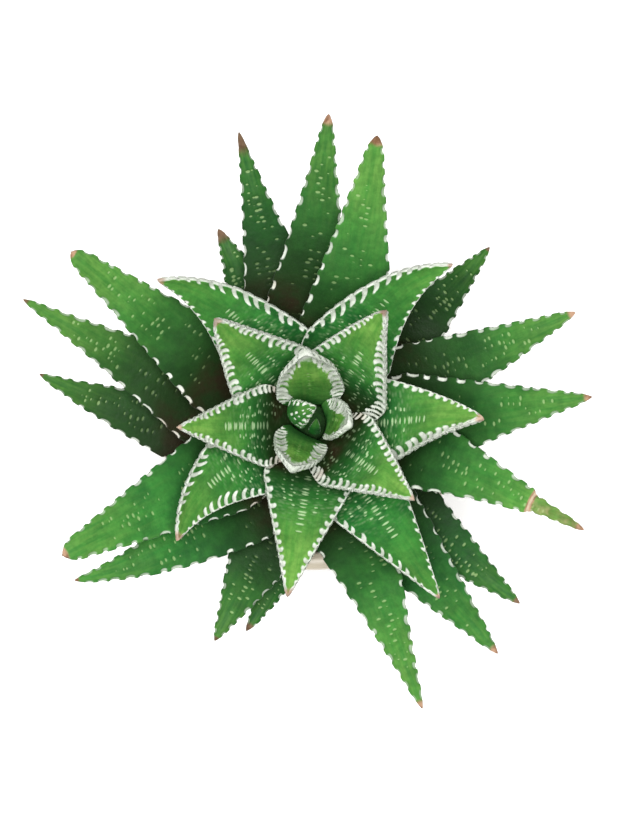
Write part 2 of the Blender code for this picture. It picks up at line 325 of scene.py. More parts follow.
def leaf_midline(leaf, number, s):
    turn = math.radians(leaf.azimuth)
    upper_half = LEAF_EDGE / 2 + LEAF_DISH * LEAF_BASE_WIDTH * leaf.width * MM / 2
    outward = stem_radius(number - 1) + GAP + upper_half * math.sin(math.radians(leaf.rise))
    start = np.array((outward * math.cos(turn), outward * math.sin(turn), leaf_height(number)))
    steps = np.diff(s)[:, None] * leaf.length * MM
    middle = (s[1:] + s[:-1]) / 2
    walked = np.cumsum(leaf_axes(leaf, middle)[0] * steps, axis=0)
    return start + np.vstack([np.zeros(3), walked])


def section_columns():
    """Where the columns are round a leaf's cross-section: across, and the angle of the outline,
    which is a right angle on the upper face, the opposite on the back, and turns at the edges."""
    face = np.sin(np.linspace(-1, 1, FACE_COLUMNS) * math.pi / 2)
    back = np.sin(np.linspace(1, -1, BACK_COLUMNS) * math.pi / 2)
    rounds = np.linspace(90, -90, EDGE_COLUMNS + 2)[1:-1]
    across = np.concatenate([face, np.ones(EDGE_COLUMNS), back, -np.ones(EDGE_COLUMNS)])
    angle = np.concatenate([face * 0 + 90, rounds, back * 0 - 90, rounds[::-1]])
    return across, np.radians(angle)


def slow_waves(rng, s, across):
    """Gentle unevenness along and across a leaf, from a few sine waves."""
    total = 0 * s
    for _ in range(WAVES):
        along_turns, across_turns = rng.uniform(1.0, 4.5), rng.uniform(-1.2, 1.2)
        phase = rng.uniform(0, FULL_TURN)
        total = total + np.sin(FULL_TURN * along_turns * s + across_turns * across * 2 + phase)
    return total * WAVE_HEIGHT / WAVES


def drying(leaf, number, s):
    """How far the leaf is shrunk by its dried tip, in its withered ring, and past the ring."""
    withered, past_ring = np.zeros_like(s), np.zeros_like(s)
    if number == WITHERED_LEAF:
        withered = np.exp(-(((s - RING_AT) / RING_SPREAD) ** 2))
        past_ring = smooth_share(s, RING_AT, RING_AT + 0.02)
    shrunk = np.zeros_like(s)
    if leaf.dry:
        from_tip = (1 - s) * leaf.length
        shrunk = smooth_share(-from_tip, -1.5 * leaf.dry, -0.4 * leaf.dry)
    return shrunk, withered, past_ring


def leaf_section(leaf, age, rng, s, across, angle, slim):
    """Half of the width at each place, how far it is out from the midline, and how high on it."""
    half = leaf.width * MM / 2 * slim
    half = half * width_share(leaf, s, age.fuller, age.blunter, age.round_tip)
    thick = leaf.width * MM * LEAF_THICKNESS * thickness_share(leaf, s) * slim
    edge = np.minimum(LEAF_EDGE, thick) / 2 * np.sqrt(slim)
    bulge = np.minimum(0.7 * edge, 0.4 * half)
    out = across * (half - bulge) + np.sign(across) * bulge * np.cos(angle)

    dish = LEAF_DISH * half * across**2
    belly = (thick - edge) * (1 - np.abs(across) ** 1.8)
    on_back = angle < -FACE_ANGLE
    waves = slow_waves(rng, s, across) * np.minimum(1, half / (4 * MM))
    lift = dish + edge * np.sin(angle) - np.where(on_back, belly, 0) + waves
    room = np.minimum(1, half / (3 * MM))
    if age is OLD:
        swell = FACE_PILLOW * smooth_share(s, *PILLOW_GROWS) * room
        return half, out, lift + np.where(on_back, 0, swell * (1 - across**2))
    inset = (1 - np.abs(across)) * half
    ridge = EDGE_RIDGE * np.exp(-((inset / RIDGE_WIDTH) ** 2)) * smooth_share(s, *RIDGE_GROWS) * room
    return half, out, lift + np.where(angle > EDGE_ANGLE, ridge, 0)


# ---------------------------------------------------------------- raised marks on a leaf
def band_phase(age, s):
    """Bands counted from the stem: a little closer together at the base and the tip."""
    return age.bands * (s + BAND_CROWDING * np.sin(FULL_TURN * s) / FULL_TURN)


def band_pitch(leaf, age, s):
    return leaf.length * MM / age.bands / (1 + BAND_CROWDING * np.cos(FULL_TURN * s))


def base_without_white(age, s):
    return age.bare_base * smooth_share(0.16 - s, 0, 0.1)


def tooth_field(leaf, age, rng, s, inward, reach, half_width):
    """Above 0 in the white teeth that come in from one edge, and under 0 outside them. inward
    is how far a place is from that edge."""
    pitch = band_pitch(leaf, age, s)
    shift = rng.uniform(-TOOTH_SHIFT, TOOTH_SHIFT, MOST_BANDS)
    long = rng.uniform(*age.lengths, MOST_BANDS)
    wide = rng.uniform(*age.widths, MOST_BANDS)
    bend = 0.4 + 0.6 * np.minimum(1.0, inward / (reach * MM))
    phase = band_phase(age, s) + age.slant * bend * inward / pitch
    index = np.clip(np.round(phase).astype(int), 0, MOST_BANDS - 1)
    local = (phase - index - shift[index]) * pitch
    tooth_reach = np.minimum(reach * MM * long[index], age.reach_limit * half_width)
    tooth_reach = tooth_reach * (0.2 + 0.8 * smooth_share(s, age.full_from - 0.3, age.full_from))
    tooth_reach = tooth_reach * (1 - age.tip_loss + age.tip_loss * smooth_share(1 - s, 0.0, 0.3))
    half = pitch * age.fill * wide[index]
    along_tooth = np.clip(inward / np.maximum(tooth_reach, 1e-6), 0, 1)
    half = half * (1 - age.neck / 2 + age.neck * along_tooth)
    deep = half * age.tooth_end
    past_end = np.maximum(0.0, inward - tooth_reach + 0.8 * deep) / deep
    return 1 - np.sqrt((local / half) ** 2 + past_end**2) - base_without_white(age, s)


def strip_field(leaf, number, age, rng, s, inward, reach):
    """The uneven white line along the edge of a younger leaf, which joins its teeth."""
    if age is OLD or number >= INWARD_LEAF:
        return inward * 0 - 1
    phase = FULL_TURN * band_phase(age, s)
    uneven = 0.8 + 0.2 * np.cos(phase) + 0.15 * np.sin(0.37 * phase + rng.uniform(0, 6))
    wide = (0.14 + age.strip * reach) * MM * (0.3 + 0.7 * smooth_share(s, 0.05, 0.4)) * uneven
    return 1 - inward / np.minimum(wide, 0.3 * leaf.width * MM) - base_without_white(age, s)


def back_field(leaf, number, age, rng, s, across):
    """The raised bands across the back, here and there broken into beads."""
    sparse = INWARD_BANDS if number == INWARD_LEAF else 1
    pitch = band_pitch(leaf, age, s) / sparse
    phase = (band_phase(age, s) + BAND_ARCH * (1 - across**2)) * sparse
    index = np.clip(np.round(phase).astype(int), 0, MOST_BANDS - 1)
    starts = rng.uniform(0, FULL_TURN, MOST_BANDS)
    turns = rng.uniform(7, 13, MOST_BANDS)
    local = (phase - index) * pitch + 0.1 * pitch * np.sin(5 * across + starts[index])
    beads = 0.85 + 0.3 * np.sin(turns[index] * across + starts[index])
    half = BAND_HALF_WIDTH * beads * pitch
    field = (1 - np.abs(local) / half) * smooth_share(s, 0.02, 0.1)
    if number < INWARD_LEAF:
        return field
    if number > INWARD_LEAF:
        return field * 0 - 1
    rows = (np.abs(across) - EDGE_BEADS_FROM) * 4
    for row in BEAD_ROWS:
        rows = np.maximum(rows, 1 - np.abs(across - row) / BEAD_ROW_HALF_WIDTH)
    return np.minimum(field, rows)


def dot_field(leaf, age, rng, s, across, half_width):
    """Small raised dots and short dashes on the upper face, in rows along the leaf."""
    field = s * 0 - 1
    size = leaf.length * MM
    if size < SHORTEST_DOTTED:
        return field
    average, clumping = age.dot_clumps
    for row, start, end, wide, kept in age.dot_rows:
        clumps, first = rng.uniform(3, 6), rng.uniform(0, FULL_TURN)
        for place in np.arange(start, end, age.dot_step):
            there = place + rng.uniform(-0.3, 0.3) * age.dot_step
            side = row + rng.uniform(-0.06, 0.06) * (row != 0)
            clumped = average + clumping * math.sin(place * clumps * 6.3 + first)
            keep = rng.uniform() < kept * clumped
            scale = rng.uniform(*age.dot_sizes)
            if not keep:
                continue
            along = (s - there) * size / (age.dot_length * scale)
            beside = (across - side) * half_width / (wide * MM * scale)
            field = np.maximum(field, 1 - np.sqrt(along**2 + beside**2))
    return field


def leaf_surface(leaf, number):
    """All points of a leaf on a grid of stations by columns, and what is at each of them."""
    rng = np.random.default_rng(number)
    age = age_of(number)
    share = np.linspace(0, 1, max(FEWEST_STATIONS, int(leaf.length * MM / STATION_STEP)))
    stations = share + STATION_SPREAD * np.sin(FULL_TURN * share) / FULL_TURN
    across_line, angle_line = section_columns()
    s, across = np.broadcast_arrays(stations[:, None], across_line[None, :])
    angle = np.broadcast_to(angle_line[None, :], s.shape)
    on_back, on_face = angle < -FACE_ANGLE, angle > FACE_ANGLE

    shrunk, withered, past_ring = drying(leaf, number, s)
    slim = (1 - RING_PINCH * withered) * (1 - DRY_PINCH * shrunk) * (1 - PAST_RING_PINCH * past_ring)
    half, out, lift = leaf_section(leaf, age, rng, s, across, angle, slim)
    center = leaf_midline(leaf, number, stations)
    side, up = leaf_axes(leaf, stations)[1:]
    points = center[:, None] + side[:, None] * out[..., None] + up[:, None] * lift[..., None]

    on_edge = ~on_back & ~on_face
    from_left = np.where(on_edge & (across > 0), 0.0, (1 - across) * half)
    from_right = np.where(on_edge & (across < 0), 0.0, (1 + across) * half)
    teeth = np.maximum(
        tooth_field(leaf, age, rng, s, from_left, leaf.left, half),
        tooth_field(leaf, age, rng, s, from_right, leaf.right, half),
    )
    strip = np.maximum(
        strip_field(leaf, number, age, rng, s, from_left, leaf.left),
        strip_field(leaf, number, age, rng, s, from_right, leaf.right),
    )
    if age is HEART and number < INWARD_LEAF:
        strip = np.maximum(strip, 1 - (1 - s) * leaf.length * MM / WHITE_TIP)
    bands = back_field(leaf, number, age, rng, s, across)
    white = np.where(on_back, np.maximum(bands, strip), np.maximum(teeth, 0.6 * strip))
    white = white - 0.8 * past_ring
    dots = np.where(on_face, dot_field(leaf, age, rng, s, across, half), -1.0)
    dots = np.where(white > -0.4, -1.0, dots)

    room = np.minimum(1, half / (2.2 * MM))
    raised = np.where(on_back, bands, np.maximum(teeth, 0.3 * strip))
    bump = age.height * np.clip(raised * 1.8, 0, 1) ** 0.6
    bump = np.maximum(bump, DOT_HEIGHT * np.clip(dots * 1.6, 0, 1) ** 0.7)
    wrinkles = WRINKLE_HEIGHT * np.sin(9 * across + 40 * s) * np.maximum(shrunk, withered)
    outward = (bump * room * (1 - 0.7 * shrunk)) + wrinkles * room
    points = points + grid_normals(points) * outward[..., None]
    marks = {
        "white": white,
        "dots": dots,
        "along": s,
        "beside": across * half / MM,
        "dry": np.maximum(shrunk * age.dryness, 1.7 * withered + 0.42 * past_ring),
    }
    return points, marks


def grid_normals(points):
    """Outward normals of a grid whose columns close into a loop."""
    along = np.gradient(points, axis=0)
    around = np.roll(points, -1, axis=1) - np.roll(points, 1, axis=1)
    normal = np.cross(around, along)
    size = np.linalg.norm(normal, axis=2, keepdims=True)
    return normal / np.maximum(size, 1e-12)


def loop_faces(rows, count):
    """Quads between the rows of a grid whose columns close into a loop."""
    row, column = np.meshgrid(np.arange(rows - 1), np.arange(count), indexing="ij")
    after = (column + 1) % count
    quads = [row * count + column, row * count + after]
    quads += [(row + 1) * count + after, (row + 1) * count + column]
    return np.stack(quads, axis=-1).reshape(-1, 4)


def add_piece(name, points, faces, finish, marks=None):
    """A smooth mesh object, with each mark kept as a value at every point."""
    mesh = bpy.data.meshes.new(name)
    mesh.from_pydata(points.reshape(-1, 3).tolist(), [], faces)
    mesh.validate()
    for key, values in (marks or {}).items():
        layer = mesh.attributes.new(key, "FLOAT", "POINT")
        layer.data.foreach_set("value", np.ascontiguousarray(values, dtype=np.float32).ravel())
    mesh.materials.append(finish)
    mesh.shade_smooth()
    piece = bpy.data.objects.new(name, mesh)
    bpy.context.scene.collection.objects.link(piece)
    return piece


def leaf_color_marks(leaf, number, along):
    """What the leaf's material reads at each point, besides what is raised there."""
    age = age_of(number)
    whiteness = YOUNGEST_WHITENESS if number > INWARD_LEAF else 1
    green, ripening = age.ripe
    fades, fades_if_dark = age.shade_fades
    ends, ends_if_dark = age.shade_ends
    # lit: where the leaf is out of the painted shade by the stem
    lit = smooth_share(along, fades + fades_if_dark * leaf.dark, ends + ends_if_dark * leaf.dark)
    return {
        "lime": np.full(len(along), leaf.lime),
        "dark": np.full(len(along), leaf.dark),
        "speckled": np.full(len(along), age.speckled),
        "chalk": (1 - smooth_share(along, 0.35, 0.9) * age.tip_fading) * whiteness,
        "far": along * leaf.length,
        "ripe": along * ripening + green,
        "shade": 1 - lit**1.5,
    }


def make_leaf(leaf, number, finish):
    points, marks = leaf_surface(leaf, number)
    rows, count = points.shape[:2]
    tip = (rows - 1) * count
    last = (rows - 2) * count
    faces = loop_faces(rows - 1, count).tolist()
    faces += [[last + k, last + (k + 1) % count, tip] for k in range(count)]
    faces.append(list(range(count))[::-1])
    flat = points.reshape(-1, 3)[: tip + 1]
    flat[tip] = points[-1].mean(axis=0)
    marks = {key: values.reshape(-1)[: tip + 1] for key, values in marks.items()}
    marks |= leaf_color_marks(leaf, number, marks["along"])
    piece = add_piece(f"zebra_leaf_{number:02d}", flat, faces, finish, marks)
    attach(piece, "root")
    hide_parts(f"leaf_{number:02d}")


# ---------------------------------------------------------------- materials
NOISE_ROUGHNESS = 0.55


class Nodes:
    """A short way to write a material's nodes."""

    def __init__(self, name):
        self.material = bpy.data.materials.new(name)
        self.material.use_nodes = True
        self.tree = self.material.node_tree
        self.shader = self.tree.nodes["Principled BSDF"]

    def link(self, source, target):
        self.tree.links.new(source, target)

    def put(self, socket, value):
        if isinstance(value, bpy.types.NodeSocket):
            self.link(value, socket)
        elif isinstance(value, tuple) and len(value) == 3 and socket.type == "RGBA":
            socket.default_value = (*value, 1.0)
        else:
            socket.default_value = value

    def mark(self, name):
        """One of the values that the mesh keeps at every point."""
        node = self.tree.nodes.new("ShaderNodeAttribute")
        node.attribute_name = name
        return node.outputs["Fac"]

    def math(self, kind, first, second):
        node = self.tree.nodes.new("ShaderNodeMath")
        node.operation = kind
        self.put(node.inputs[0], first)
        self.put(node.inputs[1], second)
        return node.outputs[0]

    def plus(self, first, second):
        return self.math("ADD", first, second)

    def times(self, first, second):
        return self.math("MULTIPLY", first, second)

    def band(self, value, low, high, start=0.0, end=1.0):
        """A smooth step of value from low to high."""
        node = self.tree.nodes.new("ShaderNodeMapRange")
        node.interpolation_type = "SMOOTHSTEP"
        self.put(node.inputs["Value"], value)
        node.inputs["From Min"].default_value = low
        node.inputs["From Max"].default_value = high
        node.inputs["To Min"].default_value = start
        node.inputs["To Max"].default_value = end
        return node.outputs["Result"]

    def mix(self, share, first, second):
        node = self.tree.nodes.new("ShaderNodeMix")
        node.data_type = "RGBA"
        self.put(node.inputs["Factor"], share)
        self.put(node.inputs["A"], first)
        self.put(node.inputs["B"], second)
        return node.outputs["Result"]

    def between(self, value, low, high, colors):
        """The first color where value is under low, the second over high."""
        return self.mix(self.band(value, low, high), *colors)

    def position(self):
        return self.tree.nodes.new("ShaderNodeTexCoord").outputs["Object"]

    def combine(self, x, y, z):
        node = self.tree.nodes.new("ShaderNodeCombineXYZ")
        for socket, value in zip(node.inputs, (x, y, z)):
            self.put(socket, value)
        return node.outputs[0]

    def noise(self, scale, detail, where=None):
        node = self.tree.nodes.new("ShaderNodeTexNoise")
        self.put(node.inputs["Vector"], where or self.position())
        node.inputs["Scale"].default_value = scale
        node.inputs["Detail"].default_value = detail
        node.inputs["Roughness"].default_value = NOISE_ROUGHNESS
        return node.outputs["Fac"]

    def cells(self, scale, where=None):
        node = self.tree.nodes.new("ShaderNodeTexVoronoi")
        self.put(node.inputs["Vector"], where or self.position())
        node.inputs["Scale"].default_value = scale
        return node.outputs["Distance"]

    def bump(self, height, distance, strength):
        node = self.tree.nodes.new("ShaderNodeBump")
        node.inputs["Strength"].default_value = strength
        node.inputs["Distance"].default_value = distance
        self.put(node.inputs["Height"], height)
        self.link(node.outputs["Normal"], self.shader.inputs["Normal"])

    def finish(self, color, roughness, specular):
        self.put(self.shader.inputs["Base Color"], color)
        self.put(self.shader.inputs["Roughness"], roughness)
        self.shader.inputs["Specular IOR Level"].default_value = specular
        return self.material


# Colors are linear red, green and blue. A pair is what a noise runs between.
GREEN = ((0.008, 0.100, 0.022), (0.024, 0.190, 0.032))
# The deep green of the dark old leaves: partly their own colour, partly painted shade of the leaves
# above them
OLD_SHADED_GREEN = ((0.003, 0.026, 0.004), (0.007, 0.060, 0.008))
YOUNG_GREEN = ((0.100, 0.300, 0.045), (0.205, 0.410, 0.080))
YELLOW_GREEN = (0.105, 0.260, 0.045)
GRAIN_GREEN = (0.010, 0.075, 0.012)
# Painted shade near the stem, where the leaves above would cover a leaf
SHADED_GREEN = (0.009, 0.022, 0.005)
# Painted shade mixed with the reddish brown of old leaf bases, in the deepest shade by the stem
SHADE_AND_STAIN_BROWN = (0.018, 0.008, 0.004)
SPECK_GREEN = (0.30, 0.42, 0.22)
DOT_GREEN = ((0.33, 0.47, 0.20), (0.42, 0.58, 0.32))  # on an old leaf, on a younger one
CHALK = ((0.50, 0.54, 0.46), (0.66, 0.69, 0.62))
# the white marks in that deepest painted shade, darker and pinkish
SHADED_STAINED_CHALK = (0.50, 0.33, 0.27)
TAN = ((0.17, 0.07, 0.04), (0.46, 0.27, 0.18))
DARK_TAN = (0.075, 0.040, 0.025)
RING_TAN = (0.52, 0.38, 0.28)
CREAM = ((0.64, 0.56, 0.44), (0.70, 0.62, 0.50))
IRON_BROWN = (0.20, 0.12, 0.07)
EARTH = ((0.018, 0.011, 0.007), (0.065, 0.040, 0.024))
BARK = ((0.09, 0.045, 0.022), (0.20, 0.12, 0.065))
PUMICE = ((0.38, 0.35, 0.29), (0.62, 0.59, 0.53))
OLD_STEM = ((0.035, 0.018, 0.010), (0.13, 0.075, 0.040))
# The top of the stem: green, and darkened partly as painted shade under the heart leaves
SHADED_YOUNG_STEM = ((0.010, 0.045, 0.010), (0.03, 0.10, 0.02))
FLOOR_WHITE = ((0.90, 0.90, 0.90), (0.93, 0.93, 0.93))


def leaf_flesh(n, patches, mottle, shade_and_stain):
    """Deep green on old leaves and darker on the dark ones, partly painted shade of the leaves above;
    yellow-green towards the tips of young ones; painted shade by the stem.
    """
    far, beside, lime = n.mark("far"), n.mark("beside"), n.mark("lime")
    lengthwise = n.combine(n.times(far, 0.12), n.times(beside, 0.9), lime)
    streaks = n.noise(1.0, 4.0, lengthwise)
    tone = n.plus(n.times(patches, 0.6), n.times(mottle, 0.4))
    green = n.between(tone, 0.36, 0.64, GREEN)
    old = n.between(tone, 0.36, 0.64, OLD_SHADED_GREEN)
    # the dark leaves take on the deep old green: partly their own colour, partly painted shade of the
    # leaves above
    green = n.mix(n.times(n.mark("dark"), 0.85), green, old)
    yellowed = n.times(n.band(n.mark("along"), 0.55, 1.0), n.band(streaks, 0.3, 0.7, 0.1, 0.5))
    green = n.mix(yellowed, green, YELLOW_GREEN)
    towards_tip = n.band(n.plus(n.mark("ripe"), n.times(patches, 0.25)), 0.35, 1.10)
    young = n.between(streaks, 0.25, 0.75, YOUNG_GREEN)
    # lime above 1, on the steep heart leaves, is painted light: it brings the bright young green
    # further down them
    green = n.mix(n.times(lime, towards_tip), green, young)
    grain = n.noise(750.0, 4.0)
    green = n.mix(n.band(grain, 0.35, 0.65, 0.0, 0.24), green, GRAIN_GREEN)
    # painted shade: darker towards the stem, where the leaves above would cover it
    green = n.mix(n.times(n.mark("shade"), 0.97), green, SHADED_GREEN)
    return n.mix(n.times(shade_and_stain, 0.8), green, SHADE_AND_STAIN_BROWN)


def with_specks_and_dots(n, green, fine):
    """Fine pale specks near the stem of a younger leaf, and the paler raised dots."""
    shade, speckled = n.mark("shade"), n.mark("speckled")
    lengthwise = n.math("DIVIDE", n.mark("far"), 0.75)
    crosswise = n.math("DIVIDE", n.mark("beside"), 1.5)
    specks = n.cells(1.0, n.combine(lengthwise, crosswise, 0.0))
    specks = n.times(n.band(specks, 0.05, 0.6, 1.0, 0.0), speckled)
    specks = n.times(specks, n.band(n.mark("along"), 0.38, 0.65, 1.0, 0.0))
    # the specks and the dots are dimmed in the painted shade by the stem
    specks = n.times(specks, n.band(shade, 0.0, 0.9, 1.0, 0.1))
    green = n.mix(n.times(specks, 0.30), green, SPECK_GREEN)
    dots = n.band(n.plus(n.mark("dots"), n.times(fine, 0.3)), 0.10, 0.5)
    clear = n.band(speckled, 0.0, 1.0, 0.5, 0.72)
    clear = n.times(clear, n.band(shade, 0.1, 1.0, 1.0, 0.35))
    return n.mix(n.times(dots, clear), green, n.mix(speckled, *DOT_GREEN))


def leaf_material():
    """Green flesh with raised white tubercles, pale dots and a dried tip."""
    n = Nodes("zebra_leaf")
    patches = n.noise(140.0, 4.0)
    mottle = n.noise(420.0, 3.0)
    fine = n.noise(1100.0, 3.0)
    # the deepest painted shade by the stem, partly the reddish brown of old leaf bases
    shade_and_stain = n.times(n.band(n.mark("shade"), 0.84, 1.0), n.band(patches, 0.38, 0.65))
    uneven = n.times(n.math("SUBTRACT", mottle, 0.5), 0.7)
    green = leaf_flesh(n, patches, mottle, shade_and_stain)
    green = with_specks_and_dots(n, green, fine)

    white = n.plus(n.mark("white"), n.plus(n.times(fine, 0.22), uneven))
    white = n.band(white, 0.04, 0.42)
    chalk = n.between(mottle, 0.35, 0.65, CHALK)
    # the white marks go darker and pinkish in that deepest painted shade
    chalk = n.mix(n.times(shade_and_stain, 0.5), chalk, SHADED_STAINED_CHALK)
    skin = n.mix(n.times(white, n.mark("chalk")), green, chalk)

    dry = n.mark("dry")
    tan = n.between(n.noise(500.0, 4.0), 0.35, 0.65, TAN)
    tan = n.mix(n.band(n.mark("dark"), 0.62, 0.75, 0.0, 0.75), tan, DARK_TAN)
    tan = n.mix(n.band(dry, 1.05, 1.45), tan, RING_TAN)
    dried = n.band(n.plus(dry, uneven), 0.15, 0.95)
    skin = n.mix(n.times(dried, 0.92), skin, tan)

    n.bump(n.plus(n.times(mottle, 0.8), fine), 0.16 * MM, 0.55)
    roughness = n.plus(n.times(white, 0.22), n.times(dried, 0.25))
    roughness = n.plus(roughness, n.band(patches, 0.3, 0.7, 0.48, 0.58))
    return n.finish(skin, roughness, 0.11)


def pot_material():
    """Cream stoneware with a soft glaze and fine iron specks."""
    n = Nodes("pot_ceramic")
    cloud = n.noise(60.0, 4.0)
    fine = n.noise(1500.0, 2.0)
    body = n.between(cloud, 0.3, 0.7, CREAM)
    specks = n.band(n.cells(700.0), 0.10, 0.20, 1.0, 0.0)
    rare = n.times(specks, n.band(n.noise(320.0, 1.0), 0.56, 0.62))
    body = n.mix(n.times(rare, 0.7), body, IRON_BROWN)
    n.bump(n.plus(fine, n.times(cloud, 0.8)), 0.08 * MM, 0.35)
    n.shader.inputs["Coat Weight"].default_value = 0.25
    n.shader.inputs["Coat Roughness"].default_value = 0.25
    return n.finish(body, n.band(cloud, 0.3, 0.7, 0.42, 0.55), 0.4)


def soil_material():
    """Dark earth, with bark and pumice by the tone of each grain."""
    n = Nodes("potting_mix")
    tone = n.mark("tone")
    grain = n.noise(900.0, 4.0)
    earth, bark, pumice = [n.between(grain, 0.3, 0.7, pair) for pair in (EARTH, BARK, PUMICE)]
    color = n.mix(n.band(tone, 0.35, 0.4), earth, bark)
    color = n.mix(n.band(tone, 0.75, 0.8), color, pumice)
    n.bump(grain, 0.3 * MM, 0.8)
    return n.finish(color, n.band(grain, 0.3, 0.7, 0.8, 0.95), 0.2)


def stem_material():
    """Brown bark that turns a dark green towards the top; the dark is partly painted shade of the
    heart leaves.
    """
    n = Nodes("stem_bark")
    rings = n.noise(300.0, 4.0)
    old, young = [n.between(rings, 0.3, 0.7, pair) for pair in (OLD_STEM, SHADED_YOUNG_STEM)]
    color = n.mix(n.band(n.mark("age"), 0.35, 0.75), old, young)
    n.bump(rings, 0.4 * MM, 0.8)
    return n.finish(color, n.band(rings, 0.3, 0.7, 0.7, 0.9), 0.25)


def floor_material():
    """A white floor that is lit a little from within, like a light table, so its shadows stay pale."""
    n = Nodes("pale_floor")
    n.shader.inputs["Emission Color"].default_value = (1.0, 1.0, 1.0, 1.0)
    n.shader.inputs["Emission Strength"].default_value = FLOOR_GLOW
    return n.finish(n.between(n.noise(3.0, 2.0), 0.3, 0.7, FLOOR_WHITE), 0.9, 0.1)


# ---------------------------------------------------------------- pot, potting mix and stem
POT_SIDES = 160
POT_CORNER = 0.9 * MM
POT_OUTLINE_STEP = 0.8 * MM
THROWING_HEIGHT = 0.06 * MM  # of the fine rings that throwing on a wheel leaves
THROWING_SPACING = 1.7 * MM
POT_WOBBLE = 0.05 * MM

SOIL_SIDES = 180
SOIL_RINGS = 40
SOIL_BED_DEPTH = 0.4 * MM  # of the bed under the tops of the grains
LUMP_HEIGHT = 0.22 * MM
GRAINS = 1500
GRAIN_SIZES = (0.35, 1.15)  # mm
GRAIN_ROUGHNESS = 0.18
GRAIN_SUNK = 0.25
GRAIN_ROUNDING = 0.75

STEM_SIDES = 72
STEM_WOBBLE = 0.18 * MM
SCAR_HEIGHT = 0.22 * MM
SCAR_SPACING = 1.2 * MM


def rounded(outline, radius, steps=6):
    """The outline with each corner rounded, as an array of (radius, height)."""
    points = [np.array(p, dtype=float) for p in outline]
    made = [points[0]]
    for before, corner, after in zip(points, points[1:], points[2:]):
        to_before, to_after = before - corner, after - corner
        room = min(np.linalg.norm(to_before), np.linalg.norm(to_after)) / 2
        cut = min(radius, room)
        first = corner + to_before / np.linalg.norm(to_before) * cut
        last = corner + to_after / np.linalg.norm(to_after) * cut
        for t in np.linspace(0, 1, steps):
            made.append((1 - t) ** 2 * first + 2 * t * (1 - t) * corner + t**2 * last)
    made.append(points[-1])
    return np.array(made)


def refined(outline, step):
    """The outline with points added, about a step apart on its long sides."""
    made = [outline[0]]
    for start, end in zip(outline, outline[1:]):
        pieces = max(1, int(np.linalg.norm(end - start) / step))
        for k in range(1, pieces + 1):
            made.append(start + (end - start) * k / pieces)
    return np.array(made)


def turned_grid(outline, sides, wobble=0.0):
    """An outline turned about Z, without its two ends, which lie on the axis."""
    turn = np.linspace(0, FULL_TURN, sides, endpoint=False)[None, :]
    radius = outline[1:-1, 0][:, None]
    height = outline[1:-1, 1][:, None]
    radius = radius + wobble * np.sin(3 * turn + height * 260) * np.minimum(1, radius / (5 * MM))
    return columns(radius * np.cos(turn), radius * np.sin(turn), height + 0 * turn)


def closed_at_ends(grid, outline):
    """The points and faces of a turned grid that is closed by the outline's two ends."""
    rows, sides = grid.shape[:2]
    faces = loop_faces(rows, sides).tolist()
    flat = grid.reshape(-1, 3)
    first, last = len(flat), len(flat) + 1
    flat = np.vstack([flat, (0, 0, outline[0, 1]), (0, 0, outline[-1, 1])])
    for k in range(sides):
        after = (k + 1) % sides
        faces.append([after, k, first])
        faces.append([(rows - 1) * sides + k, (rows - 1) * sides + after, last])
    return flat, faces


def make_pot(finish):
    """A tapered pot with a band below its rim, soft corners and faint throwing rings."""
    band = POT_HEIGHT - RIM_BAND_HEIGHT
    lip = POT_WALL + RIM_BAND_STEP
    below_band = pot_inner_radius(band) + POT_WALL
    outline = [
        (0, 0),
        (POT_FOOT_RADIUS - 0.8 * MM, 0),
        (POT_FOOT_RADIUS, 0.8 * MM),
        (below_band, band - 1.0 * MM),
        (below_band + RIM_BAND_STEP, band),
        (POT_RIM_RADIUS, POT_HEIGHT - 1.2 * MM),
        (POT_RIM_RADIUS - 1.2 * MM, POT_HEIGHT),
        (POT_RIM_RADIUS - lip + 1.0 * MM, POT_HEIGHT),
        (POT_RIM_RADIUS - lip, POT_HEIGHT - 1.0 * MM),
        (pot_inner_radius(POT_FLOOR + 2 * MM), POT_FLOOR + 2 * MM),
        (pot_inner_radius(POT_FLOOR) - 2 * MM, POT_FLOOR),
        (0, POT_FLOOR),
    ]
    outline = refined(rounded(outline, POT_CORNER), POT_OUTLINE_STEP)
    throwing = THROWING_HEIGHT * np.sin(outline[:, 1] / THROWING_SPACING * 2 * math.pi)
    outline[2:-2, 0] += throwing[2:-2]
    points, faces = closed_at_ends(turned_grid(outline, POT_SIDES, POT_WOBBLE), outline)
    piece = add_piece("plant_pot", points, faces, finish)
    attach(piece, "root")
    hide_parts("pot")


def grain_shape():
    """A small faceted lump: a cube with a point in the middle of each side and edge, rounded."""
    grid = np.linspace(-1, 1, 3)
    points = [(x, y, z) for x in grid for y in grid for z in grid if max(abs(x), abs(y), abs(z)) == 1]
    points = np.array(points)
    faces = []
    for axis in range(3):
        for sign in (-1, 1):
            on_side = [k for k, p in enumerate(points) if p[axis] == sign]
            u, v = (axis + 1) % 3, (axis + 2) % 3
            find = {(points[k][u], points[k][v]): k for k in on_side}
            for i in (-1, 0):
                for j in (-1, 0):
                    quad = [find[(i, j)], find[(i + 1, j)], find[(i + 1, j + 1)], find[(i, j + 1)]]
                    faces.append(quad if sign > 0 else quad[::-1])
    ball = points / np.linalg.norm(points, axis=1, keepdims=True)
    return ball * GRAIN_ROUNDING + points * (1 - GRAIN_ROUNDING), np.array(faces)


